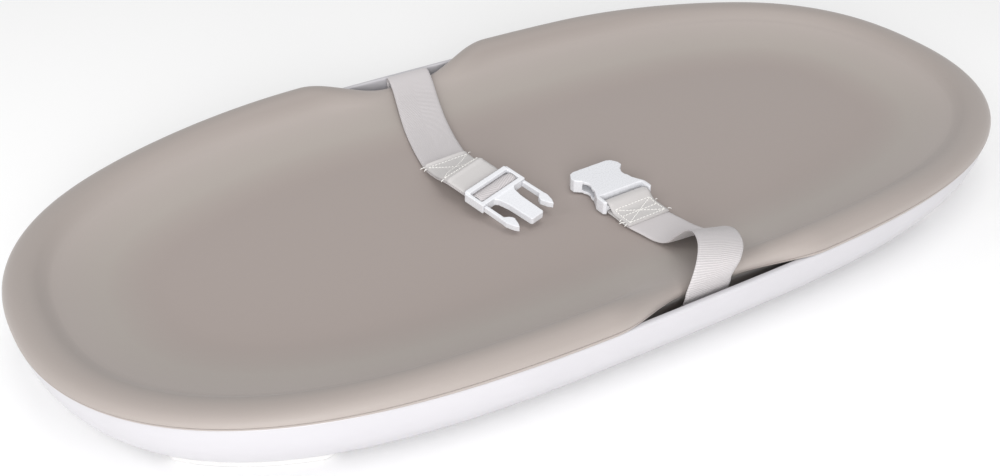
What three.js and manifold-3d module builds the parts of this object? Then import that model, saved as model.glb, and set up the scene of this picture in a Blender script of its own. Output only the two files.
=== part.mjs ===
// Baby changing pad: a moulded foam pad in a white tray, with a two-part safety belt.
// Millimetres, +Z up. The origin is the middle of the tray on the surface that it stands on.
// X runs along the length. The front long side is -Y, and the male buckle half is on the back strap.
import * as THREE from 'three';
import { mergeVertices } from 'three/addons/utils/BufferGeometryUtils.js';
import Module from 'manifold-3d';

const wasm = await Module();
wasm.setup();

// Driving dimensions
const LENGTH = 752; // tray rim, end to end
const WIDTH = 374; // tray rim, front to back
const END_POWER = 3.3; // roundness of the outline along X
const SIDE_POWER = 2.29; // roundness of the outline along Y
const COLUMNS = 104; // sections around the outline
const GAP = 0.3; // between pieces that touch
const FOOT_HEIGHT = 5;
const TRAY_HEIGHT = 44;
const TRAY_DRAFT = 20; // how far the tray's wall leans in at its bottom
const WALL = 2.8;
const RIM_Z = FOOT_HEIGHT + TRAY_HEIGHT;
const CREST = 14; // pad's edge above the tray rim, at the middle of its long sides
const END_CREST = 0.62; // share of that height that is left at the ends
const CREST_FULL = 130; // distance from the middle where the edge starts to fall
const CREST_LOW = 300; // and where it has come down to the ends' height
const FLOOR_DROP = 16; // pad's lying surface below the tray rim
const PAD_BASE_Z = 14;
const FRONT_NOTCH_X = 9; // middle of the belt notch at the front
const BACK_NOTCH_X = -30; // and at the back
const NOTCH_FLAT = 15; // half length of a notch's full depth
const NOTCH_END = 85; // half length where a notch has run out
const NOTCH_LIP_CLEAR = 0.34; // share of the notch's inset that comes before its lip dips
const FOOT_START = 0.6; // where a foot starts on its quarter of the outline
const FOOT_END = 1.02;
const FOOT_INSET = 29;
const FOOT_HALF_WIDTH = 8;
const WEBBING = 36;
const WEBBING_THICK = 1.5;
const FLOOR_Z = RIM_Z - FLOOR_DROP;
const LAYER = WEBBING_THICK + GAP; // from one layer of webbing to the next
const BELT_Z = PAD_BASE_Z - GAP - WEBBING_THICK / 2; // middle of the webbing under the pad
const FRONT_X = 3; // where the belt comes up at the front
const BACK_X = -22; // and at the back
const BUCKLE_HALF = 21.5; // half width of both buckle halves
const SLOT_HALF = 18.6; // half width of their webbing slots
const MALE_DROP = 6.3; // from the tray's rim down to the male half, which rests tilted

const WHITE = { color: 0xebe9ed, roughness: 0.35, metalness: 0 };
const TAUPE = { color: 0xaaa29c, roughness: 0.75, metalness: 0 };
const FABRIC = { color: 0xe4e4e2, roughness: 0.9, metalness: 0 };
const BUCKLE = { color: 0xf0f0f2, roughness: 0.3, metalness: 0 };
const RUBBER = { color: 0xdededc, roughness: 0.8, metalness: 0 };
const STEEL = { color: 0xb8babd, roughness: 0.35, metalness: 1 };

const part = new THREE.Group();

function addMesh(parent, name, geometry, finish) {
  const mesh = new THREE.Mesh(geometry, new THREE.MeshStandardMaterial(finish));
  mesh.name = name;
  parent.add(mesh);
  return mesh;
}

// ---- Closed bodies from lists of points ----

function geometryFrom(points, triangles) {
  const geometry = new THREE.BufferGeometry();
  const positions = points.flatMap((p) => [p.x, p.y, p.z]);
  geometry.setAttribute('position', new THREE.Float32BufferAttribute(positions, 3));
  geometry.setIndex(triangles);
  geometry.computeVertexNormals();
  return geometry;
}

// Skins a stack of rings with equal point counts, and closes it with a fan at each end.
function loft(rings, startCentre, endCentre) {
  const count = rings[0].length;
  const points = [...rings.flat(), startCentre, endCentre];
  const start = rings.length * count;
  const last = start - count;
  const triangles = [];
  for (let i = 0; i < count; i += 1) {
    const j = (i + 1) % count;
    for (let r = 0; r < rings.length - 1; r += 1) {
      const low = r * count;
      const high = low + count;
      triangles.push(low + i, low + j, high + j, low + i, high + j, high + i);
    }
    triangles.push(start, j, i);
    triangles.push(start + 1, last + i, last + j);
  }
  return geometryFrom(points, triangles);
}

function toManifold(geometry) {
  const bare = geometry.clone();
  bare.deleteAttribute('normal');
  bare.deleteAttribute('uv');
  const merged = mergeVertices(bare, 1e-4);
  return new wasm.Manifold(new wasm.Mesh({
    numProp: 3,
    vertProperties: new Float32Array(merged.attributes.position.array),
    triVerts: new Uint32Array(merged.index.array),
  }));
}

function toGeometry(solid) {
  const mesh = solid.getMesh();
  const geometry = new THREE.BufferGeometry();
  geometry.setAttribute('position', new THREE.BufferAttribute(mesh.vertProperties, 3));
  geometry.setIndex(new THREE.BufferAttribute(mesh.triVerts, 1));
  geometry.computeVertexNormals();
  return geometry;
}

function subtractAll(geometry, cutters) {
  let solid = toManifold(geometry);
  for (const cutter of cutters) solid = solid.subtract(toManifold(cutter));
  return toGeometry(solid);
}

function addAll(geometry, extras) {
  let solid = toManifold(geometry);
  for (const extra of extras) solid = solid.add(toManifold(extra));
  return toGeometry(solid);
}

// A box from its lowest corner to its highest corner.
function block(x0, y0, z0, x1, y1, z1) {
  const box = new THREE.BoxGeometry(x1 - x0, y1 - y0, z1 - z0);
  return box.translate((x0 + x1) / 2, (y0 + y1) / 2, (z0 + z1) / 2);
}

function post(radius, x, y, z0, z1, sides = 24) {
  const cylinder = new THREE.CylinderGeometry(radius, radius, z1 - z0, sides);
  return cylinder.rotateX(Math.PI / 2).translate(x, y, (z0 + z1) / 2);
}

// ---- The outline that the tray and the pad share ----

function rimPoint(angle) {
  const c = Math.cos(angle);
  const s = Math.sin(angle);
  return new THREE.Vector2(
    (LENGTH / 2) * Math.sign(c) * Math.abs(c) ** (2 / END_POWER),
    (WIDTH / 2) * Math.sign(s) * Math.abs(s) ** (2 / SIDE_POWER),
  );
}

// Points on the rim with their outward normals, twice as close around the belt notches.
function rimColumns() {
  const fine = [];
  for (let i = 0; i < 7200; i += 1) fine.push(rimPoint((i / 7200) * 2 * Math.PI));
  const reach = [0];
  for (let i = 1; i <= fine.length; i += 1) {
    const a = fine[i - 1];
    const b = fine[i % fine.length];
    const density = Math.abs(a.x) < 110 ? 2 : 1;
    reach.push(reach[i - 1] + a.distanceTo(b) * density);
  }
  const columns = [];
  let k = 0;
  for (let i = 0; i < COLUMNS; i += 1) {
    const goal = (i / COLUMNS) * reach[fine.length];
    while (reach[k + 1] < goal) k += 1;
    const ahead = fine[(k + 5) % fine.length];
    const behind = fine[(k - 5 + fine.length) % fine.length];
    const along = ahead.clone().sub(behind).normalize();
    columns.push({ point: fine[k], normal: new THREE.Vector2(along.y, -along.x) });
  }
  return columns;
}

const columns = rimColumns();

// 1 in the belt notch, 0 beyond it.
function notchWeight(point) {
  const middle = point.y < 0 ? FRONT_NOTCH_X : BACK_NOTCH_X;
  return 1 - THREE.MathUtils.smoothstep(Math.abs(point.x - middle), NOTCH_FLAT, NOTCH_END);
}

// A height on the pad, lowered towards the ends where it is above the tray's rim.
function lowered(z, x) {
  const far = THREE.MathUtils.smoothstep(Math.abs(x), CREST_FULL, CREST_LOW);
  const share = THREE.MathUtils.lerp(1, END_CREST, far);
  const base = RIM_Z + GAP;
  return z > base ? base + (z - base) * share : z;
}

// One ring: [inset, z] away from the notches, and [inset, z] in their middle. The lip's height
// changes later than its inset, so that the pad clears the tray's rim before it dips.
function ring(plain, notched = plain, isLip = false) {
  return columns.map(({ point, normal }) => {
    const weight = notchWeight(point);
    const late = Math.max(0, (weight - NOTCH_LIP_CLEAR) / (1 - NOTCH_LIP_CLEAR));
    const inset = THREE.MathUtils.lerp(plain[0], notched[0], weight);
    const z = THREE.MathUtils.lerp(lowered(plain[1], point.x), notched[1], isLip ? late : weight);
    return new THREE.Vector3(point.x - normal.x * inset, point.y - normal.y * inset, z);
  });
}

const onAxis = (z) => new THREE.Vector3(0, 0, z);

// ---- Tray ----

function trayInset(z) {
  return TRAY_DRAFT * (1 - (z - FOOT_HEIGHT) / TRAY_HEIGHT) ** 2;
}

function trayShell() {
  const floorZ = FOOT_HEIGHT + WALL + 0.2;
  const outerLevels = [8, 16, 27, 38, 46.5];
  const innerLevels = [46.5, 38, 27, 16, 10.5];
  const profile = [
    [TRAY_DRAFT + 10, FOOT_HEIGHT],
    [TRAY_DRAFT + 1.5, FOOT_HEIGHT + 0.7],
    ...outerLevels.map((z) => [trayInset(z), z]),
    [0, RIM_Z - 0.8],
    [0.8, RIM_Z],
    [3.4, RIM_Z],
    [4.2, RIM_Z - 0.8],
    ...innerLevels.map((z) => [Math.max(trayInset(z) + WALL, 4), z]),
    [TRAY_DRAFT + 4, floorZ],
  ];
  return loft(profile.map((p) => ring(p)), onAxis(FOOT_HEIGHT), onAxis(floorZ));
}

// A long low foot that follows the outline, between two places along one quarter of the rim.
function foot(signX, signY) {
  const steps = 8;
  const round = 5; // steps around each rounded end
  const radian = 200; // outline length for each radian along the foot's quarter
  const place = (i) => FOOT_START + ((FOOT_END - FOOT_START) * i) / steps;
  function at(t, side) {
    const p = rimPoint(t);
    const along = rimPoint(t + 0.01).sub(rimPoint(t - 0.01)).normalize();
    const normal = new THREE.Vector2(along.y, -along.x);
    return p.addScaledVector(normal, side - FOOT_INSET).multiply(new THREE.Vector2(signX, signY));
  }
  function outline(shrink, z) {
    const half = FOOT_HALF_WIDTH - shrink;
    const points = [];
    for (let i = 0; i <= steps; i += 1) points.push(at(place(i), half));
    for (let i = 1; i < round; i += 1) {
      const a = (Math.PI * i) / round;
      points.push(at(FOOT_END + (Math.sin(a) * half) / radian, Math.cos(a) * half));
    }
    for (let i = steps; i >= 0; i -= 1) points.push(at(place(i), -half));
    for (let i = 1; i < round; i += 1) {
      const a = (Math.PI * i) / round;
      points.push(at(FOOT_START - (Math.sin(a) * half) / radian, -Math.cos(a) * half));
    }
    if (signX * signY < 0) points.reverse();
    return points.map((p) => new THREE.Vector3(p.x, p.y, z));
  }
  const top = FOOT_HEIGHT - GAP;
  const middle = at((FOOT_START + FOOT_END) / 2, 0);
  return loft(
    [outline(1.5, 0), outline(0.3, 1.2), outline(0, top)],
    new THREE.Vector3(middle.x, middle.y, 0),
    new THREE.Vector3(middle.x, middle.y, top),
  );
}

// ---- Foam pad ----

function foamPad() {
  const top = RIM_Z + CREST;
  const rings = [
    ring([32, PAD_BASE_Z]),
    ring([29, PAD_BASE_Z + 2.5], [30, PAD_BASE_Z + 2.5]),
    ring([20, 33], [24, 33]),
    ring([9, RIM_Z - 3], [18.5, RIM_Z - 8]),
    ring([7.5, RIM_Z + GAP], [17.7, RIM_Z - 6], true),
    ring([-0.5, RIM_Z + GAP], [17.2, RIM_Z - 5], true),
    ring([-1.2, RIM_Z + 3.6], [17, RIM_Z - 4]),
    ring([0, top - 6], [17.5, RIM_Z - 2.2]),
    ring([3, top - 2.3], [19, RIM_Z - 1]),
    ring([8, top], [22, RIM_Z - 0.6]),
    ring([13.5, top - 0.3], [26, RIM_Z - 1]),
    ring([18, top - 2.6], [30, RIM_Z - 2]),
    ring([22.5, top - 7], [35, RIM_Z - 3.6]),
    ring([27, top - 12], [41, RIM_Z - 5.6]),
    ring([32, top - 15.5], [47, RIM_Z - 7.6]),
    ring([40, RIM_Z - 5], [54, RIM_Z - 9.6]),
    ring([52, RIM_Z - 9], [63, RIM_Z - 11.8]),
    ring([67, RIM_Z - 13], [75, RIM_Z - 14.2]),
    ring([88, FLOOR_Z]),
    ring([125, FLOOR_Z - 0.5]),
  ];
  return loft(rings, onAxis(PAD_BASE_Z), onAxis(FLOOR_Z - 1));
}

// ---- Webbing ----

// A flat ribbon along a route. Each stop is [x, y, z] and, where the webbing twists, the
// direction of its width.
function ribbon(stops, steps, width = WEBBING, thick = WEBBING_THICK) {
  const curve = new THREE.CatmullRomCurve3(
    stops.map((s) => new THREE.Vector3(s[0], s[1], s[2])), false, 'centripetal');
  const across = new THREE.CatmullRomCurve3(
    stops.map((s) => new THREE.Vector3(...(s[3] ?? [1, 0, 0]))), false, 'centripetal');
  const rings = [];
  for (let i = 0; i <= steps; i += 1) {
    const p = curve.getPoint(i / steps);
    const along = curve.getTangent(i / steps);
    const wide = across.getPoint(i / steps).normalize();
    const up = new THREE.Vector3().crossVectors(wide, along).normalize();
    const corner = (a, b) => p.clone()
      .addScaledVector(wide, (a * width) / 2)
      .addScaledVector(up, (b * thick) / 2);
    rings.push([corner(-1, -1), corner(-1, 1), corner(1, 1), corner(1, -1)]);
  }
  return loft(rings, curve.getPoint(0), curve.getPoint(1));
}

const planShape = (outline) => new THREE.Shape(outline.map(([x, y]) => new THREE.Vector2(x, y)));

// Extrudes a plan outline upwards between two heights.
function slab(outline, z0, z1) {
  const geometry = new THREE.ExtrudeGeometry(planShape(outline), { depth: z1 - z0, bevelEnabled: false });
  return geometry.translate(0, 0, z0);
}

const mirrored = (half) => [...half, ...half.map(([x, y]) => [-x, y]).reverse()];

// ---- Belt under the pad, and the plates that keep it there ----

// The belt crosses a little askew under the pad.
function beltX(y) {
  return THREE.MathUtils.lerp(FRONT_X, BACK_X, (y + 150) / 300);
}

function beltUnderPad() {
  const rise = [
    [177.5, 48.5], [175, 41], [169, 30], [164.5, 20.5], [161.5, 15.2], [156.5, BELT_Z - 0.2],
    [146, BELT_Z],
  ];
  const stops = [
    ...rise.map(([y, z]) => [FRONT_X, -y, z]),
    [beltX(-90), -90, BELT_Z],
    [beltX(90), 90, BELT_Z],
    ...rise.reverse().map(([y, z]) => [BACK_X, y, z]),
  ];
  return ribbon(stops, 44);
}

const KEEPER_Y = 100;
const KEEPER_SCREW = 25.5; // from the keeper's middle to each screw
const KEEPER_TOP = PAD_BASE_Z - GAP;
const KEEPER_THICK = 1.6;
const SCREW_DEPTH = 9;

function keeperPlate() {
  const low = KEEPER_TOP - WEBBING_THICK - 2 * GAP - KEEPER_THICK;
  const wing = KEEPER_TOP - KEEPER_THICK;
  const inner = WEBBING / 2 + 1.6;
  const section = mirrored([
    [inner, low], [inner + 2, wing], [30, wing], [30, KEEPER_TOP],
    [inner + 0.6, KEEPER_TOP], [inner, low + KEEPER_THICK],
  ]);
  const shape = planShape(section);
  const plate = new THREE.ExtrudeGeometry(shape, { depth: 16, bevelEnabled: false });
  plate.rotateX(Math.PI / 2).translate(0, 8, 0);
  const holes = [-1, 1].map((side) => post(2, side * KEEPER_SCREW, 0, wing - 1, KEEPER_TOP + 1, 16));
  return subtractAll(plate, holes);
}

function keeperScrew() {
  const headTop = KEEPER_TOP - KEEPER_THICK - GAP;
  const profile = [
    [0, headTop - 1.6], [2.4, headTop - 1.6], [3.4, headTop - 0.6], [3.4, headTop],
    [1.5, headTop], [1.5, KEEPER_TOP + SCREW_DEPTH - 2], [0, KEEPER_TOP + SCREW_DEPTH],
  ].map(([r, z]) => new THREE.Vector2(r, z));
  return new THREE.LatheGeometry(profile, 16).rotateX(Math.PI / 2);
}

function screwPlaces() {
  const places = [];
  for (const y of [-KEEPER_Y, KEEPER_Y]) {
    for (const side of [-1, 1]) places.push([beltX(y) + side * KEEPER_SCREW, y]);
  }
  return places;
}

function padWithHoles() {
  const top = PAD_BASE_Z + SCREW_DEPTH + 1;
  return subtractAll(foamPad(), screwPlaces().map(([x, y]) => post(1.9, x, y, PAD_BASE_Z - 1, top, 12)));
}

// ---- Buckle halves ----

const male = new THREE.Group();
male.position.set(-49.5, 6, RIM_Z - MALE_DROP);
male.rotation.set(
  THREE.MathUtils.degToRad(8), THREE.MathUtils.degToRad(-5.5), THREE.MathUtils.degToRad(15.5), 'ZXY');
male.updateMatrix();

const female = new THREE.Group();
female.position.set(31.5, -57, FLOOR_Z + 0.5);
female.rotation.set(0, 0, THREE.MathUtils.degToRad(2));
female.updateMatrix();

// A place in a buckle half's own frame, with the direction of its webbing, as a ribbon stop.
function stopOn(group, y, z) {
  const place = new THREE.Vector3(0, y, z).applyMatrix4(group.matrix);
  const wide = new THREE.Vector3(1, 0, 0).transformDirection(group.matrix);
  return [place.x, place.y, place.z, [wide.x, wide.y, wide.z]];
}

// The male half's middle: rails, bars and the centre tongue, which points to -Y in its frame.
function maleFrame() {
  const plate = slab(mirrored([
    [BUCKLE_HALF, -19], [BUCKLE_HALF, -1.5], [BUCKLE_HALF - 1.5, 0],
  ]).reverse(), 0, 7.4);
  const window = block(-SLOT_HALF, -15.5, -1, SLOT_HALF, 1, 9);
  const rearBar = block(-SLOT_HALF - 1, -4, 4.6, SLOT_HALF + 1, 0, 8.2);
  const middleBar = block(-SLOT_HALF - 1, -12.5, 3, SLOT_HALF + 1, -8.5, 5.6);
  const tongue = slab(mirrored([
    [5, -51.5], [6, -50.5], [6.6, -30], [8, -22], [10.5, -18.5],
  ]), 1, 6.6);
  const open = subtractAll(plate, [window]);
  return addAll(open, [rearBar, middleBar, tongue]);
}

// One springy arm with its arrow-shaped catch. The side is 1 or -1 along X.
function prong(side) {
  const arm = [
    [18, -19.4], [18, -36], [14.8, -38.2], [13.2, -41.5], [15.4, -47.5], [17.4, -50.4],
    [19.6, -46.8], [21.2, -41], [20.9, -37], [20.7, -19.4],
  ].map(([x, y]) => [x * side, y]);
  return slab(side > 0 ? arm : arm.reverse(), 1.4, 6.2);
}

function maleLoop() {
  const stops = [
    [9, 1.15], [0, 1.15], [-6, 1.15], [-11.5, 1.2], [-13.6, 2.3], [-14, 4.6], [-12.8, 6.7],
    [-10.5, 7.2], [-7.6, 6.5], [-5.6, 4.3], [-3.2, 3.1], [0, 2.95], [4, 2.95], [9, 2.95],
  ].map(([y, z]) => [0, y, z]);
  return ribbon(stops, 40);
}

// The female half: a socket open towards +Y, cut away at both sides, with a bar behind.
function femaleHousing() {
  const outline = mirrored([
    [BUCKLE_HALF - 1.5, 0], [BUCKLE_HALF, 1.5], [BUCKLE_HALF, 9], [16.8, 18], [16, 26],
    [16.8, 32], [BUCKLE_HALF, 36], [BUCKLE_HALF, 40], [18.5, 45], [15, 46.5],
  ]);
  return subtractAll(slab(outline, 0, 10), [
    block(-16.6, 14, 2.2, 16.6, 48, 7.8),
    block(-SLOT_HALF, 4, -1, SLOT_HALF, 9.6, 11),
    block(-SLOT_HALF, -1, -1, SLOT_HALF, 4.1, 2.9),
    block(-SLOT_HALF, -1, 6.6, SLOT_HALF, 4.1, 11),
    post(6.5, 21.5, 26, -1, 11, 20),
    post(6.5, -21.5, 26, -1, 11, 20),
  ]);
}

function femaleLoop() {
  const stops = [
    [-20, 2.95], [-12, 2.95], [-7, 3.1], [-3.4, 5.2], [-0.6, 7.7], [2, 8.2], [4.8, 7.6], [6.6, 5.6],
    [6.5, 3], [5, 1.4], [2, 1.15], [-8, 1.15], [-20, 1.15],
  ].map(([y, z]) => [0, y, z]);
  return ribbon(stops, 40);
}

// ---- The two straps that show ----

function backStrap() {
  const rolled = [1, 0, 0.05];
  return ribbon([
    [BACK_X, 177.2, RIM_Z + 1.2],
    [BACK_X - 0.5, 175.2, RIM_Z + 3.8],
    [BACK_X - 2, 169, RIM_Z + 4.6],
    [-27, 157, RIM_Z + 2.2],
    [-32, 140, RIM_Z - 2.8],
    [-38, 118, RIM_Z - 9.8, rolled],
    [-43, 97, RIM_Z - 13, rolled],
    [-48, 75, RIM_Z - 13.5, rolled],
    [-51.5, 56, RIM_Z - 12.4, rolled],
    [-53, 40, RIM_Z - 9.2, rolled],
    stopOn(male, 22, 0.8),
    stopOn(male, 10.6, 1.15),
  ], 36);
}

function backTail() {
  const rolled = [1, 0.03, 0.05];
  const lift = 1.4 + LAYER;
  return ribbon([
    [-51, 62, RIM_Z - 13.3 + lift, rolled],
    [-51.6, 56, RIM_Z - 12.4 + lift, rolled],
    [-53, 40, RIM_Z - 9.2 + lift, rolled],
    stopOn(male, 22, 0.8 + lift),
    stopOn(male, 12.4, 1.2 + lift),
  ], 12, WEBBING, 2.4);
}

function frontStrap() {
  return ribbon([
    [FRONT_X, -178, RIM_Z + 2.5],
    [5, -178.5, RIM_Z + 10, [0.99, 0, -0.1]],
    [10, -176.5, RIM_Z + 17, [0.96, -0.05, -0.2]],
    [18, -168.5, RIM_Z + 21.5, [0.95, -0.1, -0.26]],
    [26, -155, RIM_Z + 20.5, [0.95, -0.1, -0.26]],
    [33, -140, RIM_Z + 12.5, [0.96, -0.1, -0.2]],
    [37, -127, RIM_Z + 1.5, [0.98, -0.08, -0.1]],
    [38, -115, RIM_Z - 9.5, [1, -0.05, -0.02]],
    [37, -104, RIM_Z - 13.4],
    [35, -92, RIM_Z - 14.2],
    stopOn(female, -21.6, 1.15),
  ], 36);
}

// ---- Assembly ----

addMesh(part, 'tray_shell', trayShell(), WHITE);
addMesh(part, 'foot_front_left', foot(-1, -1), RUBBER);
addMesh(part, 'foot_front_right', foot(1, -1), RUBBER);
addMesh(part, 'foot_back_left', foot(-1, 1), RUBBER);
addMesh(part, 'foot_back_right', foot(1, 1), RUBBER);
addMesh(part, 'foam_pad', padWithHoles(), TAUPE);
addMesh(part, 'belt_under_pad', beltUnderPad(), FABRIC);

for (const [name, y] of [['belt_keeper_front', -KEEPER_Y], ['belt_keeper_back', KEEPER_Y]]) {
  addMesh(part, name, keeperPlate(), WHITE).position.set(beltX(y), y, 0);
}
screwPlaces().forEach(([x, y], i) => {
  addMesh(part, `keeper_screw_${i + 1}`, keeperScrew(), STEEL).position.set(x, y, 0);
});

addMesh(part, 'strap_back_webbing', backStrap(), FABRIC);
addMesh(part, 'strap_back_tail', backTail(), FABRIC);
addMesh(part, 'strap_front_webbing', frontStrap(), FABRIC);

addMesh(male, 'male_buckle_frame', maleFrame(), BUCKLE);
addMesh(male, 'male_prong_left', prong(-1), BUCKLE);
addMesh(male, 'male_prong_right', prong(1), BUCKLE);
addMesh(male, 'male_webbing_loop', maleLoop(), FABRIC);
part.add(male);

addMesh(female, 'female_buckle_housing', femaleHousing(), BUCKLE);
addMesh(female, 'female_webbing_loop', femaleLoop(), FABRIC);
part.add(female);

export default part;
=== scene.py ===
"""Changing pad: an oval foam pad in a white tray, with a webbing belt. Metres, +Z up."""
import math

import bmesh
import bpy
import numpy as np
from mathutils import Matrix, Vector


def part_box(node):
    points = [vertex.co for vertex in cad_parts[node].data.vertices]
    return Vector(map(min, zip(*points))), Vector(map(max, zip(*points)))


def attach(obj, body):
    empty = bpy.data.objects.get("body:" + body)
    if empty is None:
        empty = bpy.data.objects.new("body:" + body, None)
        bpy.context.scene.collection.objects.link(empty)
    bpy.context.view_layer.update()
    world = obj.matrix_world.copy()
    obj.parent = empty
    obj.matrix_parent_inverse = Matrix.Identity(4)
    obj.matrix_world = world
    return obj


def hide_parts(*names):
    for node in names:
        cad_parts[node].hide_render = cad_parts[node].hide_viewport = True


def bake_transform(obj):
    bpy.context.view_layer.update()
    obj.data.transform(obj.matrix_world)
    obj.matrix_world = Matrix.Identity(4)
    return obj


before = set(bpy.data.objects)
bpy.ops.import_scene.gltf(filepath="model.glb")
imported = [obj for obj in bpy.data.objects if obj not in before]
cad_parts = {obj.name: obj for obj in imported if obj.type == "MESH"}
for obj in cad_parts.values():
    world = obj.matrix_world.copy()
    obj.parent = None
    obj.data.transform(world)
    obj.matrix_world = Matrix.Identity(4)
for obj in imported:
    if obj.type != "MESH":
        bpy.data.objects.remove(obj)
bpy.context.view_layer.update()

MM = 0.001

# ---- Sizes: the tray's bounds come from the frame, the rest are the design's own ----

TRAY_LOW, TRAY_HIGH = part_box("tray_shell")
HALF_LENGTH = (TRAY_HIGH.x - TRAY_LOW.x) / 2
HALF_WIDTH = (TRAY_HIGH.y - TRAY_LOW.y) / 2
RIM_Z = TRAY_HIGH.z
BASE_Z = TRAY_LOW.z
RIM_MM = RIM_Z / MM
FLOOR_MM = RIM_MM - 16  # the lying surface
# SLOPE_HEIGHT also spans the painted shade in the foam's colour.
SLOPE_HEIGHT = 30 * MM  # from the lying surface to the top of the pad's edge, about

# The outline is |x / half length| ** END_POWER + |y / half width| ** SIDE_POWER = 1.
END_POWER = 3.3
SIDE_POWER = 2.29
COLUMNS = 400
FINE_STEPS = 14401
DENSE_HALF = 120 * MM  # columns are twice as close within this distance of the middle

FRONT_NOTCH_X = 9 * MM
BACK_NOTCH_X = -30 * MM
NOTCH_FLAT = 15 * MM
NOTCH_END = 85 * MM
NOTCH_LIP_CLEAR = 0.34  # how far into a notch the pad's lip still lies over the tray's rim
END_CREST = 0.62  # share of the edge's height that is left at the ends
CREST_FULL = 130 * MM
CREST_LOW = 300 * MM

TRAY_DRAFT = 20 * MM
WALL = 2.8 * MM
WALL_LEVELS = 14
TRAY_FLOOR = 3 * MM
TRAY_UNDER = 1.2 * MM

FOOT_START = 0.6  # where a foot starts and stops along the outline, in radians
FOOT_STOP = 1.02
FOOT_INSET = 29 * MM
FOOT_HALF = 8 * MM
FOOT_PER_RADIAN = 0.2  # metres of outline in a radian: 0.20 at FOOT_START, though 0.27 at FOOT_STOP
FOOT_TOP = 4.7 * MM

WEBBING = 36 * MM
WEBBING_THICK = 1.5 * MM
ROUTE_STEPS = 24
WARP_PITCH = 0.75 * MM
RIB_SHARE = 0.72
WARP_SHARE = 0.28
FLAT_LEVEL = 0.6  # the weave's height where its ribs have faded
FLAT_SHARE = 0.85  # how much of them fades

RIDGE_HALF = 1.3 * MM
STITCH_PITCH = 2.7 * MM
STITCH_LENGTH = 2.25 * MM
THREAD = 0.34 * MM
THREAD_SIDES = 6
THREAD_TIP = 0.45  # a thread's thickness at its ends, as a share
HEM_SIDE = 0.92  # stitch rows on the back hem, as a share of half the width
HEM_INSET = 4 * MM
BOX_SIDE = 0.86  # the same for the stitched box on the front strap

# ---- Camera, floor and light ----

CAMERA_AZIMUTH = -31.4
CAMERA_ELEVATION = 34.5
CAMERA_DISTANCE = 0.792
CAMERA_TARGET = Vector((-0.0786, -0.0629, RIM_Z))
CAMERA_LENS = 43.2


def direction(azimuth, elevation):
    """From the object towards a viewer or a light; azimuth 0 is the -Y side."""
    a, e = math.radians(azimuth), math.radians(elevation)
    return Vector((math.sin(a) * math.cos(e), -math.cos(a) * math.cos(e), math.sin(e)))


def make_camera():
    data = bpy.data.cameras.new("camera")
    data.sensor_width = 36
    data.lens = CAMERA_LENS
    camera = bpy.data.objects.new("camera", data)
    bpy.context.scene.collection.objects.link(camera)
    back = direction(CAMERA_AZIMUTH, CAMERA_ELEVATION)
    camera.location = CAMERA_TARGET + back * CAMERA_DISTANCE
    camera.rotation_euler = (-back).to_track_quat("-Z", "Y").to_euler()
    bpy.context.scene.camera = camera


def area_light(name, azimuth, elevation, distance, size, power):
    data = bpy.data.lights.new(name, "AREA")
    data.shape = "DISK"
    data.size = size
    data.energy = power
    light = bpy.data.objects.new(name, data)
    bpy.context.scene.collection.objects.link(light)
    away = direction(azimuth, elevation)
    light.location = Vector((0, 0, RIM_Z)) + away * distance
    light.rotation_euler = (-away).to_track_quat("-Z", "Y").to_euler()


def make_stage():
    bpy.ops.mesh.primitive_plane_add(size=24, location=(0, 0, 0))
    floor = bpy.context.object
    floor.name = "floor"
    floor.data.materials.append(stage_material())
    world = bpy.data.worlds.new("studio")
    world.use_nodes = True
    background = world.node_tree.nodes["Background"]
    background.inputs["Color"].default_value = (1, 1, 1, 1)
    background.inputs["Strength"].default_value = 0.6
    bpy.context.scene.world = world
    area_light("softbox_front", -30, 21, 2.1, 1.3, 33)
    area_light("softbox_left", -110, 35, 2.0, 1.0, 4)
    area_light("softbox_top", 20, 80, 2.0, 1.2, 7)
    bpy.context.scene.view_settings.view_transform = "Standard"


# ---- Materials ----


def linear(red, green, blue):
    """An sRGB colour, 0 to 255, as the linear colour that a shader takes."""
    def one(c):
        c /= 255
        return c / 12.92 if c <= 0.04045 else ((c + 0.055) / 1.055) ** 2.4
    return (one(red), one(green), one(blue), 1)


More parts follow.
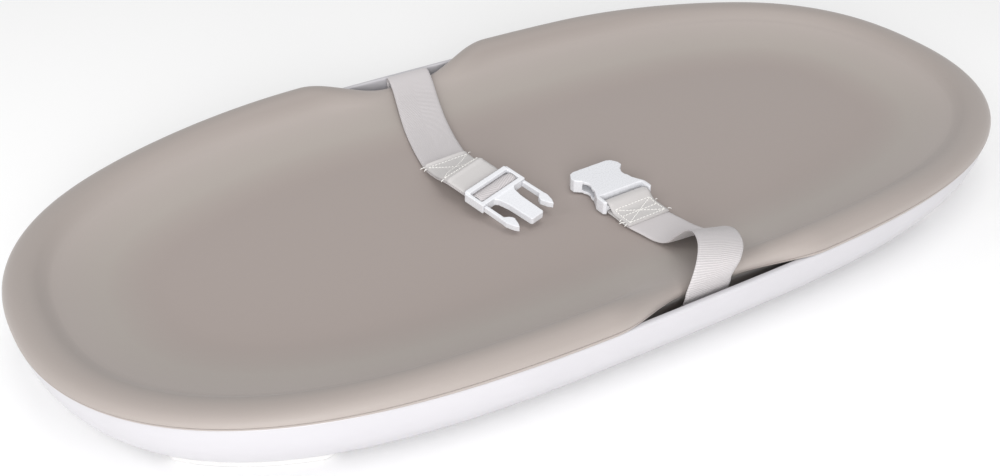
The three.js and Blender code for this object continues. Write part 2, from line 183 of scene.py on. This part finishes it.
class Nodes:
    """A material's node tree, with short calls for the nodes that this scene needs."""

    def __init__(self, name):
        self.material = bpy.data.materials.new(name)
        self.material.use_nodes = True
        self.tree = self.material.node_tree
        self.shader = self.tree.nodes["Principled BSDF"]

    def node(self, kind, **settings):
        made = self.tree.nodes.new(kind)
        for key, value in settings.items():
            setattr(made, key, value)
        return made

    def link(self, source, target):
        self.tree.links.new(source, target)

    def fixed(self, **values):
        for key, value in values.items():
            self.shader.inputs[key.replace("_", " ")].default_value = value

    def place(self):
        """The object's own coordinates, in metres."""
        return self.node("ShaderNodeTexCoord").outputs["Object"]

    def noise(self, scale, detail=2, coordinates=None):
        made = self.node("ShaderNodeTexNoise")
        made.inputs["Scale"].default_value = scale
        made.inputs["Detail"].default_value = detail
        self.link(coordinates or self.place(), made.inputs["Vector"])
        return made.outputs["Fac"]

    def math(self, operation, a, b=0.0, c=0.0):
        made = self.node("ShaderNodeMath", operation=operation)
        for socket, value in zip(made.inputs, (a, b, c)):
            if isinstance(value, (int, float)):
                socket.default_value = value
            else:
                self.link(value, socket)
        return made.outputs[0]

    def span(self, value, low, high):
        """A 0 to 1 value, spread from low to high."""
        made = self.node("ShaderNodeMapRange")
        made.inputs["To Min"].default_value = low
        made.inputs["To Max"].default_value = high
        self.link(value, made.inputs["Value"])
        return made.outputs["Result"]

    def tones(self, value, *stops):
        """A colour ramp, with each stop as (place, colour)."""
        made = self.node("ShaderNodeValToRGB")
        ramp = made.color_ramp
        while len(ramp.elements) < len(stops):
            ramp.elements.new(0.5)
        for element, (place, colour) in zip(ramp.elements, stops):
            element.position = place
            element.color = colour
        self.link(value, made.inputs["Fac"])
        return made.outputs["Color"]

    def bump(self, height, distance, strength=1.0, below=None):
        made = self.node("ShaderNodeBump")
        made.inputs["Distance"].default_value = distance
        made.inputs["Strength"].default_value = strength
        self.link(height, made.inputs["Height"])
        if below is not None:
            self.link(below, made.inputs["Normal"])
        return made.outputs["Normal"]


def stage_material():
    n = Nodes("pale_floor")
    n.fixed(Base_Color=(0.97, 0.97, 0.97, 1), Roughness=0.9)
    n.shader.inputs["Specular IOR Level"].default_value = 0.1
    return n.material


def foam_material():
    """Self-skinned taupe foam with a fine grain. Its colour holds painted shade by height:
    darker on the lying surface and the crest, palest halfway up the slopes.
    """
    n = Nodes("pad_foam")
    place = n.place()
    cloudy = n.noise(7, 3, place)
    grain = n.noise(1500, 2, place)
    coarse = n.noise(420, 3, place)
    split = n.node("ShaderNodeSeparateXYZ")
    n.link(place, split.inputs["Vector"])
    # Painted shade by height: the colour is darker low in the hollow, palest up the slopes where light falls
    # most.
    above_floor = n.math("SUBTRACT", split.outputs["Z"], FLOOR_MM * MM)
    height = n.math("MULTIPLY", above_floor, 1 / SLOPE_HEIGHT)
    painted_shade_and_mottle = n.math("ADD", height, n.math("MULTIPLY", n.math("SUBTRACT", cloudy, 0.5), 0.06))
    # Ramp stops from the lying surface up: painted shade, then painted light on the slopes, then painted
    # shade on the crest; the small cloudy mottle is the foam's own.
    n.link(n.tones(painted_shade_and_mottle, (0.0, linear(157, 146, 141)), (0.18, linear(164, 156, 150)),
                   (0.5, linear(168, 159, 154)), (0.85, linear(156, 147, 142))),
           n.shader.inputs["Base Color"])
    n.link(n.span(coarse, 0.5, 0.62), n.shader.inputs["Roughness"])
    n.link(n.bump(grain, 0.05 * MM, 0.6, n.bump(coarse, 0.06 * MM, 0.5)), n.shader.inputs["Normal"])
    n.fixed(Sheen_Weight=0.25, Sheen_Roughness=0.45)
    n.shader.inputs["Specular IOR Level"].default_value = 0.42
    return n.material


def plastic_material(name, colour, roughness, peel=0.012):
    """Moulded plastic with a faint flow pattern and a slightly uneven gloss."""
    n = Nodes(name)
    place = n.place()
    flow = n.noise(24, 3, place)
    fine = n.noise(900, 2, place)
    shade = tuple(c * 0.97 for c in colour[:3]) + (1,)
    n.link(n.tones(flow, (0.3, shade), (0.7, colour)), n.shader.inputs["Base Color"])
    n.link(n.span(fine, roughness - 0.04, roughness + 0.05), n.shader.inputs["Roughness"])
    n.link(n.bump(fine, peel * MM, 0.15, n.bump(flow, 0.08 * MM, 0.3)), n.shader.inputs["Normal"])
    n.fixed(Coat_Weight=0.12, Coat_Roughness=0.2)
    return n.material


def rubber_material():
    n = Nodes("foot_rubber")
    place = n.place()
    fine = n.noise(1200, 3, place)
    n.link(n.tones(fine, (0.2, linear(206, 205, 204)), (0.8, linear(222, 221, 221))),
           n.shader.inputs["Base Color"])
    n.link(n.span(fine, 0.7, 0.85), n.shader.inputs["Roughness"])
    n.link(n.bump(fine, 0.08 * MM, 0.7), n.shader.inputs["Normal"])
    return n.material


def steel_material():
    n = Nodes("screw_steel")
    brushed = n.noise(1600, 3)
    n.link(n.tones(brushed, (0.3, (0.42, 0.42, 0.43, 1)), (0.7, (0.6, 0.6, 0.61, 1))),
           n.shader.inputs["Base Color"])
    n.link(n.span(brushed, 0.25, 0.45), n.shader.inputs["Roughness"])
    n.fixed(Metallic=1.0)
    return n.material


def webbing_material(name, pitch, slant, depth, painted_groove_shade, light, flat=None):
    """Woven polyester: ribs across the webbing that lean one way and then the other. The ribs
    fade out between the two distances along the webbing in flat. Its colour follows the weave's height:
    painted shade in the grooves and a painted highlight on the rib tops, fading with the ribs."""
    n = Nodes(name)
    split = n.node("ShaderNodeSeparateXYZ")
    n.link(n.node("ShaderNodeUVMap", uv_map="weave").outputs["UV"], split.inputs["Vector"])
    across, along = split.outputs["X"], split.outputs["Y"]
    lean = n.math("PINGPONG", across, WEBBING / 2)
    leaning = n.math("MULTIPLY_ADD", lean, slant, along)
    ribs = n.math("SINE", n.math("MULTIPLY", leaning, 2 * math.pi / pitch))
    warp = n.math("SINE", n.math("MULTIPLY", across, 2 * math.pi / WARP_PITCH))
    weave = n.math("ADD", n.math("MULTIPLY", ribs, RIB_SHARE), n.math("MULTIPLY", warp, WARP_SHARE))
    height = n.math("MULTIPLY_ADD", weave, 0.5, 0.5)
    if flat:
        fade = n.node("ShaderNodeMapRange")
        fade.inputs["From Min"].default_value, fade.inputs["From Max"].default_value = flat
        n.link(along, fade.inputs["Value"])
        off = n.math("MULTIPLY", n.math("SUBTRACT", FLAT_LEVEL, height), fade.outputs["Result"])
        height = n.math("ADD", height, n.math("MULTIPLY", off, FLAT_SHARE))
    fibre = n.noise(2600, 2)
    # Painted shade and highlight: the weave's grooves get the dark colour, its rib tops the light one.
    n.link(n.tones(height, (0.0, painted_groove_shade), (1.0, light)), n.shader.inputs["Base Color"])
    n.link(n.bump(fibre, 0.05 * MM, 0.5, n.bump(height, depth, 0.9)), n.shader.inputs["Normal"])
    n.link(n.span(fibre, 0.6, 0.85), n.shader.inputs["Roughness"])
    n.fixed(Sheen_Weight=0.35, Sheen_Roughness=0.35)
    n.shader.inputs["Specular IOR Level"].default_value = 0.35
    return n.material


def thread_material():
    n = Nodes("thread")
    twist = n.noise(3200, 2)
    n.link(n.tones(twist, (0.2, linear(226, 224, 220)), (0.8, linear(250, 249, 246))),
           n.shader.inputs["Base Color"])
    n.link(n.span(twist, 0.5, 0.7), n.shader.inputs["Roughness"])
    n.link(n.bump(twist, 0.08 * MM, 0.7), n.shader.inputs["Normal"])
    n.fixed(Sheen_Weight=0.3)
    return n.material


# ---- Meshes ----


def mesh_object(name, points, faces, material):
    mesh = bpy.data.meshes.new(name)
    mesh.from_pydata([tuple(p) for p in points], [], faces)
    mesh.validate()
    work = bmesh.new()
    work.from_mesh(mesh)
    bmesh.ops.recalc_face_normals(work, faces=work.faces)
    work.to_mesh(mesh)
    work.free()
    mesh.polygons.foreach_set("use_smooth", [len(face.vertices) <= 4 for face in mesh.polygons])
    mesh.materials.append(material)
    made = bpy.data.objects.new(name, mesh)
    bpy.context.scene.collection.objects.link(made)
    return made


def loft(name, rings, caps, material):
    """Skins rings of equal point counts and closes both ends, with a fan to a point or one face."""
    count = len(rings[0])
    points = [p for ring in rings for p in ring]
    faces = []
    for r in range(len(rings) - 1):
        for i in range(count):
            j = (i + 1) % count
            faces.append((r * count + i, r * count + j, (r + 1) * count + j, (r + 1) * count + i))
    last = (len(rings) - 1) * count
    for first, cap in ((0, caps[0]), (last, caps[1])):
        if cap is None:
            faces.append(tuple(range(first, first + count)))
            continue
        points.append(cap)
        centre = len(points) - 1
        faces += [(first + i, first + (i + 1) % count, centre) for i in range(count)]
    return mesh_object(name, points, faces, material)


def through(stops, per_span):
    """A centripetal Catmull-Rom curve through the stops, with per_span points on each span."""
    stops = np.asarray(stops, float)
    row = np.vstack([2 * stops[0] - stops[1], stops, 2 * stops[-1] - stops[-2]])
    made = []
    for a, b, c, d in zip(row, row[1:], row[2:], row[3:]):
        ab, bc, cd = (np.linalg.norm((q - p)[:3]) ** 0.5 for p, q in ((a, b), (b, c), (c, d)))
        leave = bc * ((b - a) / ab - (c - a) / (ab + bc)) + (c - b)
        arrive = bc * ((d - c) / cd - (d - b) / (bc + cd)) + (c - b)
        for t in np.arange(per_span) / per_span:
            made.append((2 * t ** 3 - 3 * t ** 2 + 1) * b + (t ** 3 - 2 * t ** 2 + t) * leave
                        + (3 * t ** 2 - 2 * t ** 3) * c + (t ** 3 - t ** 2) * arrive)
    return np.array(made + [stops[-1]])


def outline_columns(count):
    """Points on the tray's rim with their outward normals, closer around the belt notches."""
    t = np.linspace(0, 2 * math.pi, FINE_STEPS)[:-1]
    c, s = np.cos(t), np.sin(t)
    fine = np.stack([
        HALF_LENGTH * np.sign(c) * np.abs(c) ** (2 / END_POWER),
        HALF_WIDTH * np.sign(s) * np.abs(s) ** (2 / SIDE_POWER),
    ], -1)
    steps = np.linalg.norm(np.roll(fine, -1, 0) - fine, axis=1)
    crowding = np.where(np.abs(fine[:, 0]) < DENSE_HALF, 2, 1)
    reach = np.concatenate([[0], np.cumsum(steps * crowding)])
    places = np.arange(count) / count * reach[-1]
    closed = np.vstack([fine, fine[:1]])
    chosen = np.stack([np.interp(places, reach, closed[:, k]) for k in (0, 1)], -1)
    size = np.array([HALF_LENGTH, HALF_WIDTH])
    power = np.array([END_POWER, SIDE_POWER])
    normal = power / size * np.abs(chosen / size) ** (power - 1) * np.sign(chosen)
    return chosen, normal / np.linalg.norm(normal, axis=1)[:, None]


RIM, OUTWARD = outline_columns(COLUMNS)


def smoothstep(value, low, high):
    t = np.clip((value - low) / (high - low), 0, 1)
    return t * t * (3 - 2 * t)


def outline_ring(inset, z):
    """A ring at one inset and height, or at one of each for every column."""
    flat = RIM - OUTWARD * np.broadcast_to(inset, COLUMNS)[:, None]
    return np.column_stack([flat, np.broadcast_to(z, COLUMNS)])


# ---- Tray and feet ----


# The tray's section as (inset, height) in mm: its bottom, above the base, and its lip, above the rim.
TRAY_BOTTOM = [(90, 1.2), (64, 1.2), (60, 0.9), (57.5, 0.2), (55, 0), (30, 0), (24.5, 0.15),
               (21.6, 0.7), (19.6, 1.5)]
TRAY_LIP = [(0.0, -1.6), (0.05, -0.9), (0.35, -0.35), (0.9, 0), (3.3, 0), (3.8, -0.3), (4.05, -0.9)]


def tray_inset(z):
    """How far the tray's wall has drawn in at a height."""
    return TRAY_DRAFT * (1 - (z - BASE_Z) / (RIM_Z - BASE_Z)) ** 2


def make_tray(material):
    low = BASE_Z
    outer = [(tray_inset(z), z) for z in np.linspace(low + 2.6 * MM, RIM_Z - 2.6 * MM, WALL_LEVELS)]
    inner = [(max(tray_inset(z) + WALL, 4 * MM), z)
             for z in np.linspace(RIM_Z - 2.2 * MM, low + 6.5 * MM, WALL_LEVELS)]
    profile = (
        [(i * MM, low + z * MM) for i, z in TRAY_BOTTOM] + outer
        + [(i * MM, RIM_Z + z * MM) for i, z in TRAY_LIP] + inner
        + [(TRAY_DRAFT + 1.5 * MM, low + 4 * MM), (TRAY_DRAFT + 6 * MM, low + TRAY_FLOOR)]
    )
    rings = [outline_ring(inset, z) for inset, z in profile]
    tray = loft("tray", rings, [(0, 0, low + TRAY_UNDER), (0, 0, low + TRAY_FLOOR)], material)
    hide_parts("tray_shell")
    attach(tray, "tray")


# A foot's section as (how much narrower on each side, height above the ground), in mm.
FOOT_SECTION = [(3.2, 0.5), (2.8, 0.5), (2.6, 0), (1.4, 0), (0.7, 0.25), (0.25, 0.8), (0.1, 1.6),
                (0, 4.7)]


def make_foot(name, material):
    """A long low foot with round ends, along its CAD node's stretch of the outline."""
    low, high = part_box(name)
    sign_x, sign_y = np.sign(low.x + high.x), np.sign(low.y + high.y)

    def rim(t):
        c, s = math.cos(t), math.sin(t)
        return np.array([HALF_LENGTH * c ** (2 / END_POWER), HALF_WIDTH * s ** (2 / SIDE_POWER)])

    def at(t, side):
        along = rim(t + 0.01) - rim(t - 0.01)
        along /= np.linalg.norm(along)
        normal = np.array([along[1], -along[0]])
        return (rim(t) + normal * (side - FOOT_INSET)) * (sign_x, sign_y)

    def ring(shrink, z):
        reach = FOOT_HALF - shrink
        turns = np.linspace(0, math.pi, 13)[1:-1]
        spread = np.linspace(FOOT_START, FOOT_STOP, 41)
        flat = (
            [at(t, reach) for t in spread]
            + [at(FOOT_STOP + math.sin(a) * reach / FOOT_PER_RADIAN, math.cos(a) * reach) for a in turns]
            + [at(t, -reach) for t in spread[::-1]]
            + [at(FOOT_START - math.sin(a) * reach / FOOT_PER_RADIAN, -math.cos(a) * reach) for a in turns]
        )
        return [(x, y, z) for x, y in flat]

    rings = [ring(s * MM, z * MM) for s, z in FOOT_SECTION]
    centre = at((FOOT_START + FOOT_STOP) / 2, 0)
    caps = [(*centre, 0.5 * MM), (*centre, FOOT_TOP)]
    foot = loft(name.replace("foot", "grip_foot"), rings, caps, material)
    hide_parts(name)
    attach(foot, "tray")


# ---- Foam pad ----

# The pad's section as (inset, height above the tray's rim), in mm, from the underside out and
# up over the edge to the lying surface. The second list is the section through a belt notch,
# point for point.
PAD_SECTION = [
    (60, -35), (31, -35), (28.5, -32.5), (20, -16), (9, -3),
    (7, 0.3), (5.2, 0.45), (-0.1, 0.45), (-0.9, 0.9), (-1.2, 1.8), (-1.25, 3.0), (0.2, 3.35),
    (-1.2, 3.7), (-0.9, 5.6), (0.3, 8.4), (3.2, 11.7), (8, 13.8), (13.5, 13.7), (18, 11.5),
    (22.5, 6.6), (26.2, 2.2), (28.8, 0.2), (37, -3.6), (52, -9), (67, -13), (88, -16), (108, -16.4),
    (128, -16.6),
]
NOTCH_SECTION = [
    (60, -35), (31, -35), (29, -32.5), (24, -16), (18.5, -8),
    (17.7, -6.2), (17.5, -5.7), (17.2, -5), (17.1, -4.8), (17, -4.5), (17, -4.2), (17.8, -4),
    (17, -3.8), (17.1, -3.1), (17.6, -2), (19.2, -1), (22, -0.5), (26, -0.9), (30, -1.9),
    (35, -3.5), (41, -5.6), (47, -7.6), (54, -9.6), (63, -11.8), (75, -14.2), (90, -15.9),
    (108, -16.4), (128, -16.6),
]
PAD_MIDDLE = -16.8
PAD_STEPS = 4

# The lip is the underside of the pad's edge, which lies over the tray's rim. It runs between
# these stops of the section, in full up to LIP_FULL. It dips into a notch later than the rest.
LIP_START = 4.4
LIP_FULL = 7
LIP_END = 9


def make_pad(material):
    plain = through(PAD_SECTION, PAD_STEPS) * MM
    notched = through(NOTCH_SECTION, PAD_STEPS) * MM
    middle = np.where(RIM[:, 1] < 0, FRONT_NOTCH_X, BACK_NOTCH_X)
    weight = 1 - smoothstep(np.abs(RIM[:, 0] - middle), NOTCH_FLAT, NOTCH_END)
    late = np.clip((weight - NOTCH_LIP_CLEAR) / (1 - NOTCH_LIP_CLEAR), 0, 1)
    height = 1 + (END_CREST - 1) * smoothstep(np.abs(RIM[:, 0]), CREST_FULL, CREST_LOW)
    rings = []
    for k, ((inset, z), (notch_inset, notch_z)) in enumerate(zip(plain, notched)):
        place = k / PAD_STEPS
        edge = z * height if z > 0 else z
        fading = np.clip((LIP_END - place) / (LIP_END - LIP_FULL), 0, 1)
        lateness = fading if place > LIP_START else 0
        dip = weight + (late - weight) * lateness
        rings.append(outline_ring(inset + (notch_inset - inset) * weight,
                                  RIM_Z + edge + (notch_z - edge) * dip))
    under, over = (0, 0, RIM_Z + PAD_SECTION[0][1] * MM), (0, 0, RIM_Z + PAD_MIDDLE * MM)
    pad = loft("foam_cushion", rings, [under, over], material)
    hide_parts("foam_pad")
    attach(pad, "pad")


# ---- Webbing ----


def thread_mesh(name, runs, material):
    """Thread as one mesh: each run is a line of points that a thin round thread follows."""
    points, faces = [], []
    turns = [(math.cos(a), math.sin(a)) for a in np.linspace(0, 2 * math.pi, THREAD_SIDES + 1)[:-1]]
    for run in runs:
        run = np.array(run)
        along = np.gradient(run, axis=0)
        first = len(points)
        for i, (centre, ahead) in enumerate(zip(run, along)):
            ahead = Vector(ahead).normalized()
            side = ahead.cross(Vector((0.01, 0.02, 1))).normalized()
            up = side.cross(ahead)
            fat = THREAD * (THREAD_TIP if i in (0, len(run) - 1) else 1)
            points += [Vector(centre) + side * c * fat + up * s * fat for c, s in turns]
        for i in range(len(run) - 1):
            low = first + THREAD_SIDES * i
            high = low + THREAD_SIDES
            for k in range(THREAD_SIDES):
                after = (k + 1) % THREAD_SIDES
                faces.append((low + k, low + after, high + after, high + k))
        faces.append(tuple(range(first, first + THREAD_SIDES)))
        faces.append(tuple(range(len(points) - THREAD_SIDES, len(points))))
    return mesh_object(name, points, faces, material)


class Webbing:
    """A flat strap along a route of stops (x, y, z, direction of its width), in metres."""

    def __init__(self, stops, outside=1, width=WEBBING, thick=WEBBING_THICK):
        """outside is the side, 1 or -1, on which folds and stitches lie where it comes back."""
        self.width, self.thick, self.outside = width, thick, outside
        route = through([(*place, *wide) for place, wide in stops], ROUTE_STEPS)
        centres, wide = route[:, :3], route[:, 3:]
        steps = np.linalg.norm(np.diff(centres, axis=0), axis=1)
        self.reach = np.concatenate([[0], np.cumsum(steps)])
        self.length = self.reach[-1]
        self.centres = centres
        self.wide = wide / np.linalg.norm(wide, axis=1)[:, None]
        along = np.gradient(centres, axis=0)
        up = np.cross(self.wide, along)
        self.up = up / np.linalg.norm(up, axis=1)[:, None]

    def at(self, reach, across=0.0, lift=0.0):
        """A point at a distance along, at -1 to 1 across, and lifted off the middle."""
        def pick(values):
            return np.array([np.interp(reach, self.reach, values[:, k]) for k in range(3)])
        return pick(self.centres) + pick(self.wide) * across * self.width / 2 + pick(self.up) * lift

    def near(self, point):
        """The distance along at which the webbing passes nearest a point."""
        return self.reach[np.argmin(np.linalg.norm(self.centres - np.array(point), axis=1))]

    def piece(self, name, start, stop, material, step=1.3 * MM, ridges=()):
        """The stretch from start to stop as a mesh, with its weave coordinates in metres. Each
        ridge is a fold across the webbing, as (place, height) on its outside."""
        rows = max(2, int((stop - start) / step)) + 1
        side = np.linspace(-1, 1, 19)
        edge = (1 - np.abs(side) ** 10) ** 0.5 * 0.86 + 0.14
        edge[[0, -1]] = 0.3
        loop = [(u, e) for u, e in zip(side, edge)] + [(u, -e) for u, e in zip(side[::-1], edge[::-1])]
        places = np.linspace(start, stop, rows)
        folds = sum((h * np.exp(-((places - r) / RIDGE_HALF) ** 2) for r, h in ridges), 0 * places)
        rings = []
        for r, fold in zip(places, folds):
            lifts = [self.thick / 2 + (fold if e * self.outside > 0 else 0) for _, e in loop]
            rings.append([self.at(r, u, e * lift) for (u, e), lift in zip(loop, lifts)])
        made = loft(name, rings, [None, None], material)
        weave = made.data.uv_layers.new(name="weave")
        count = len(loop)
        total = rows * count
        across = np.array([u * self.width / 2 + self.width / 2 for u, _ in loop])
        values = np.zeros((len(made.data.loops), 2))
        corners = np.zeros(len(made.data.loops), int)
        made.data.loops.foreach_get("vertex_index", corners)
        corners = np.minimum(corners, total - 1)
        values[:, 0] = across[corners % count]
        values[:, 1] = places[corners // count]
        weave.data.foreach_set("uv", values.ravel())
        return made

    def stitches(self, a, b):
        """A row of stitches on the outside between two places, each (distance along, across)."""
        a, b = np.array(a), np.array(b)
        reach = np.linalg.norm((b - a) * (1, self.width / 2))
        count = max(1, round(reach / STITCH_PITCH))
        share = STITCH_LENGTH / STITCH_PITCH / count
        runs = []
        for k in range(count):
            start = k / count + (1 / count - share) / 2
            steps = [(start + share * t, t) for t in np.linspace(0, 1, 5)]
            runs.append([self.at(*(a + (b - a) * place), self.outside * self.arch(t))
                         for place, t in steps])
        return runs

    def arch(self, t):
        """A stitch's height off the webbing's middle, 0 to 1 along it."""
        return self.thick / 2 + THREAD * (1.6 * math.sin(math.pi * t) - 0.5)

    def tuft(self, reach, across, lean, length):
        """A loose thread end that leaves the webbing's edge and droops."""
        side = math.copysign(1, across)
        spread = length / (self.width / 2)
        run = []
        for t in np.linspace(0, 1, 6):
            lift = self.thick / 2 * (1 - 1.2 * t * t) + THREAD * math.sin(math.pi * t)
            run.append(self.at(reach + lean * t * length, across + side * t * spread, self.outside * lift))
        return run


def buckle_frame(place, pitch, roll, yaw):
    """The frame of a buckle half: a place in mm, and its turns in degrees."""
    turn = (Matrix.Rotation(math.radians(yaw), 4, "Z") @ Matrix.Rotation(math.radians(pitch), 4, "X")
            @ Matrix.Rotation(math.radians(roll), 4, "Y"))
    return Matrix.Translation(Vector(place) * MM) @ turn


MALE = buckle_frame((-49.5, 6, RIM_MM - 6.3), 8, -5.5, 15.5)
FEMALE = buckle_frame((31.5, -57, FLOOR_MM + 0.5), 0, 0, 2)


def stop_on(frame_matrix, y, z):
    """A stop on a buckle half's middle line, in mm in its own frame."""
    place = frame_matrix @ Vector((0, y * MM, z * MM))
    wide = (frame_matrix.to_3x3() @ Vector((1, 0, 0))).normalized()
    return (tuple(place), tuple(wide))


def stop(x, y, above_rim, wide=(1, 0, 0)):
    """A stop in mm, with its height measured from the tray's rim."""
    return ((x * MM, y * MM, RIM_Z + above_rim * MM), wide)


def make_straps(twill, ribbed, plain, thread):
    """The belt under the pad, the back strap with its hem and the front strap, with their threads."""
    rolled = (1, 0, 0.05)
    under = Webbing(
        [stop(3, -y, z) for y, z in [(176.6, -6), (175, -8.4), (169, -19), (164.5, -28.5),
                                     (161.5, -33.8), (156.5, -36.2), (146, -36)]]
        + [stop(-2, -90, -36), stop(-17, 90, -36)]
        + [stop(-22, y, z) for y, z in [(146, -36), (156.5, -36.2), (161.5, -33.8), (164.5, -28.5),
                                        (169, -19), (175, -8.4), (176.6, -6)]])
    piece = under.piece("belt_under", 0, under.length, ribbed, 3 * MM)
    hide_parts("belt_under_pad")
    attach(piece, "pad")

    back = Webbing(
        [stop(-22, y, z) for y, z in [(175.2, -8), (176.9, -4), (177.4, 0)]]
        + [stop(-22.5, 175.4, 3.7), stop(-24, 169, 4.7), stop(-27, 157, 2.3), stop(-32, 140, -2.8),
           stop(-38, 118, -9.8, rolled), stop(-43, 97, -13, rolled), stop(-48, 75, -13.5, rolled),
           stop(-51.5, 56, -12.5, rolled), stop(-53, 40, -9.2, rolled)]
        + [stop_on(MALE, y, z) for y, z in [
            (22, 0.8), (9, 1.15), (0, 1.15), (-6, 1.15), (-11.5, 1.2), (-13.6, 2.3), (-14, 4.6),
            (-12.8, 6.7), (-10.5, 7.2), (-7.6, 6.5), (-5.6, 4.3), (-3.2, 3.2), (0, 2.95), (5, 3.0),
            (11, 3.1), (22, 2.75)]]
        + [stop(-53.1, 40, -7.3, rolled), stop(-51.6, 56, -10.6, rolled), stop(-51.2, 61.5, -11.3, rolled)])
    halfway = back.near(stop(-51.5, 57, -12.5)[0])
    upper = back.piece("strap_back_upper", 0, halfway, twill)
    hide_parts("strap_back_webbing")
    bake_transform(upper)
    turn = back.length - 56 * MM
    lower = back.piece("strap_back_lower", halfway, turn, twill, 0.9 * MM)
    far_fold, near_fold = back.length - 2 * MM, back.length - 40 * MM
    hem = back.piece("strap_back_hem", turn, back.length, plain, 0.6 * MM,
                     ridges=((far_fold, 1.9 * MM), (near_fold, 1.6 * MM)))
    far_row, near_row = far_fold - HEM_INSET, near_fold + HEM_INSET
    rows = [((far_row, -HEM_SIDE), (far_row, HEM_SIDE)),
            ((near_row, -HEM_SIDE), (near_row, HEM_SIDE)),
            ((far_row, -HEM_SIDE), (near_row, HEM_SIDE)),
            ((far_row, HEM_SIDE), (near_row, -HEM_SIDE))]
    loose = [(far_fold - 2 * MM, -1, 0.4, 4 * MM), (far_fold - 5 * MM, -1, -0.3, 3 * MM),
             (near_fold + 3 * MM, -1, 0.2, 3 * MM), (far_fold - 3 * MM, 1, 0.5, 3 * MM)]
    seam = thread_mesh("strap_back_thread", [run for a, b in rows for run in back.stitches(a, b)]
                       + [back.tuft(*end) for end in loose], thread)
    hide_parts("male_webbing_loop")
    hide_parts("strap_back_tail")
    for piece in (lower, hem, seam):
        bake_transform(piece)

    front = Webbing(
        [stop(3, y, z) for y, z in [(-175.6, -8), (-177, -4), (-177.8, 0)]]
        + [stop(3, -178, 3), stop(5, -178.5, 10, (0.99, 0, -0.1)), stop(10, -176.5, 17, (0.96, -0.05, -0.2)),
           stop(18, -168.5, 21.5, (0.95, -0.1, -0.26)), stop(26, -155, 20.5, (0.95, -0.1, -0.26)),
           stop(33, -140, 12.5, (0.96, -0.1, -0.2)), stop(37, -127, 1.5, (0.98, -0.08, -0.1)),
           stop(38, -115, -9.5, (1, -0.05, -0.02)), stop(37, -104, -13.4), stop(35, -92, -14.2)]
        + [stop_on(FEMALE, y, z) for y, z in [
            (-21, 1.15), (-8, 1.15), (2, 1.15), (5, 1.4), (6.5, 3), (6.6, 5.6), (4.8, 7.6), (2, 8.2),
            (-0.6, 7.7), (-3.4, 5.2), (-7, 3.2), (-12, 2.9), (-23.5, 2.9)]], outside=-1)
    halfway = front.near(stop_on(FEMALE, -21.5, 1.15)[0])
    upper = front.piece("strap_front_upper", 0, halfway, ribbed)
    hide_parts("strap_front_webbing")
    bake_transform(upper)
    lower = front.piece("strap_front_lower", halfway, front.length, plain, 0.9 * MM)
    end, rear = front.length - 2 * MM, front.length - 19.5 * MM
    middle = (end + rear) / 2
    corners = [(end, -BOX_SIDE), (end, BOX_SIDE), (rear, BOX_SIDE), (rear, -BOX_SIDE)]
    rows = list(zip(corners, corners[1:] + corners[:1]))
    rows += [(corners[0], (middle, 0)), ((middle, 0), corners[2]), (corners[1], (middle, 0)),
             ((middle, 0), corners[3]), ((middle, -BOX_SIDE), (middle, BOX_SIDE))]
    loose = [(end, -1, 0.3, 3 * MM), (end - 2 * MM, -1, -0.5, 4 * MM), (end - 6 * MM, -1, 0.2, 2.5 * MM),
             (end, 1, 0.4, 3 * MM), (rear + 4 * MM, 1, -0.2, 2.5 * MM)]
    seam = thread_mesh("strap_front_thread", [run for a, b in rows for run in front.stitches(a, b)]
                       + [front.tuft(*place) for place in loose], thread)
    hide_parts("female_webbing_loop")
    for piece in (lower, seam):
        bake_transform(piece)


# ---- Buckle ----


def keep_cad(node, material):
    """Shows a CAD node as it is, with this material."""
    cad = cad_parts[node]
    cad.data.materials.clear()
    cad.data.materials.append(material)


def softened(name, node, material, voxel=0.34 * MM):
    """A moulded copy of a CAD node: its edges are rounded as a mould rounds them."""
    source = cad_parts[node]
    made = source.copy()
    made.data = source.data.copy()
    made.name = name
    made.parent = None
    made.matrix_world = Matrix.Identity(4)
    for key in list(made.keys()):
        del made[key]
    bpy.context.scene.collection.objects.link(made)
    remesh = made.modifiers.new("voxels", "REMESH")
    remesh.mode = "VOXEL"
    remesh.voxel_size = voxel
    smooth = made.modifiers.new("round", "SMOOTH")
    smooth.factor = 0.5
    smooth.iterations = 9
    bpy.context.view_layer.update()
    shape = bpy.data.meshes.new_from_object(made.evaluated_get(bpy.context.evaluated_depsgraph_get()))
    made.modifiers.clear()
    made.data = shape
    shape.polygons.foreach_set("use_smooth", [True] * len(shape.polygons))
    shape.materials.clear()
    shape.materials.append(material)
    return made


def make_buckle(material):
    for name, node, body in (
        ("buckle_male", "male_buckle_frame", "male_buckle"),
        ("prong_left", "male_prong_left", "prong_left"),
        ("prong_right", "male_prong_right", "prong_right"),
        ("buckle_female", "female_buckle_housing", "female_buckle"),
    ):
        piece = softened(name, node, material)
        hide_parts(node)
        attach(piece, body)


# ---- The scene ----

make_camera()
make_stage()
white = plastic_material("tray_plastic", linear(197, 195, 199), 0.3)
make_tray(white)
rubber = rubber_material()
for corner in ("front_left", "front_right", "back_left", "back_right"):
    make_foot(f"foot_{corner}", rubber)
make_pad(foam_material())
# The webbing's painted groove shade and painted rib-top highlight colours.
painted_groove_shade, light = linear(181, 177, 178), linear(211, 206, 207)
twill = webbing_material("webbing_twill", 1.5 * MM, 0.32, 0.32 * MM, painted_groove_shade, light, (50 * MM, 20 * MM))
ribbed = webbing_material("webbing_ribbed", 1.5 * MM, 0.06, 0.32 * MM, painted_groove_shade, light, (70 * MM, 105 * MM))
plain = webbing_material("webbing_plain", 0.8 * MM, 0.6, 0.08 * MM,
                         linear(192, 189, 188), linear(201, 198, 197))
make_straps(twill, ribbed, plain, thread_material())
make_buckle(plastic_material("buckle_plastic", linear(226, 227, 231), 0.27, 0.006))
steel = steel_material()
for number in range(1, 5):
    keep_cad(f"keeper_screw_{number}", steel)
for end in ("front", "back"):
    keep_cad(f"belt_keeper_{end}", white)
